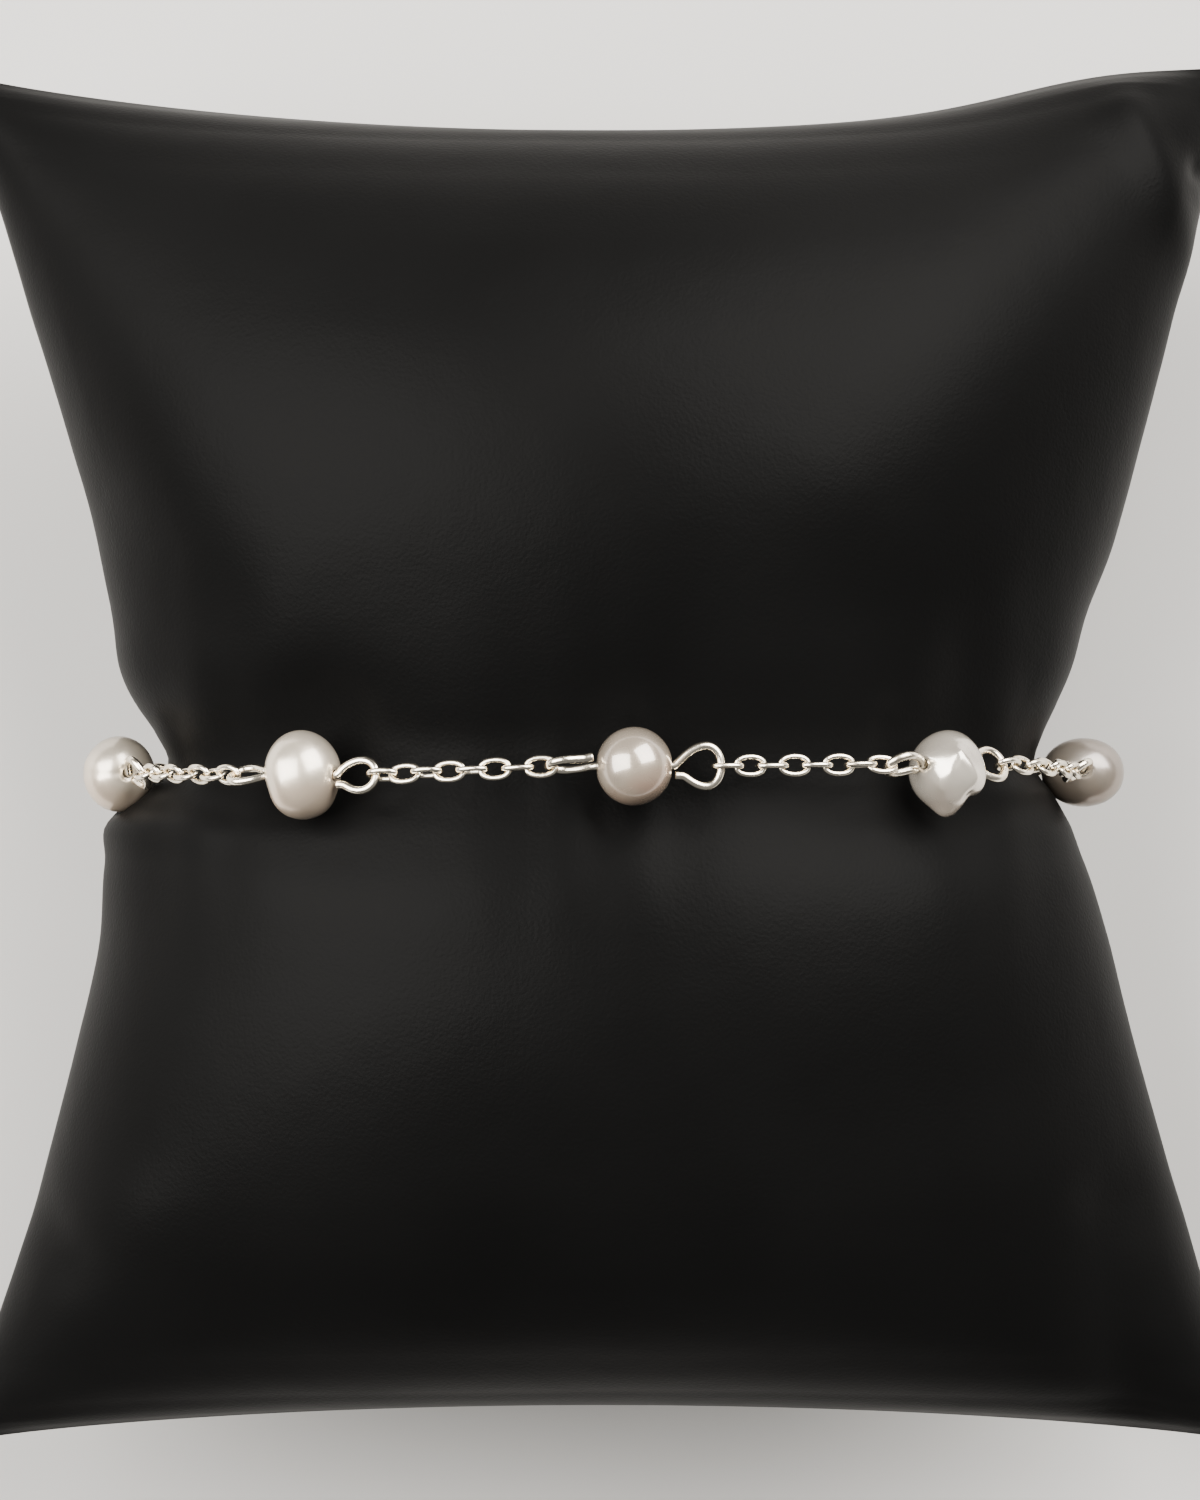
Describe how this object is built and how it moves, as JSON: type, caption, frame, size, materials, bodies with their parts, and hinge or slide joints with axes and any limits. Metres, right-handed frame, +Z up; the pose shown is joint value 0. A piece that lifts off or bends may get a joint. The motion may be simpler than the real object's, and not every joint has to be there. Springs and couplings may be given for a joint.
{
  "type": "pearl bracelet on a display pillow",
  "caption": "Fine cable chain bracelet with freshwater pearls on wire eye pins, fastened round the pinched waist of a stuffed black display pillow.",
  "frame": {"origin": "middle of the flattened back of the pillow, on the surface that it lies on, below the middle of the whole part", "axes": "+X to the picture's right along the bracelet, +Y towards the pillow's upper edge, +Z up out of its front face towards the camera"},
  "size_m": [0.0996, 0.106, 0.0532],
  "materials": {
    "cover": "soft black leatherette with a dull sheen",
    "pearl": "glossy cream nacre",
    "silver_wire": "polished silver wire",
    "silver_chain": "polished silver chain links"
  },
  "bodies": {
    "root": {"pillow": "cover", "pearl_1": "pearl", "pearl_2": "pearl", "pearl_3": "pearl", "pearl_4": "pearl", "pearl_5": "pearl", "pin_1": "silver_wire", "pin_2": "silver_wire", "pin_3": "silver_wire", "pin_4": "silver_wire", "pin_5": "silver_wire", "chain_1": "silver_chain", "chain_2": "silver_chain", "chain_3": "silver_chain", "chain_4": "silver_chain", "chain_5": "silver_chain", "chain_6": "silver_chain", "clasp": "silver_wire"}
  },
  "joints": []
}
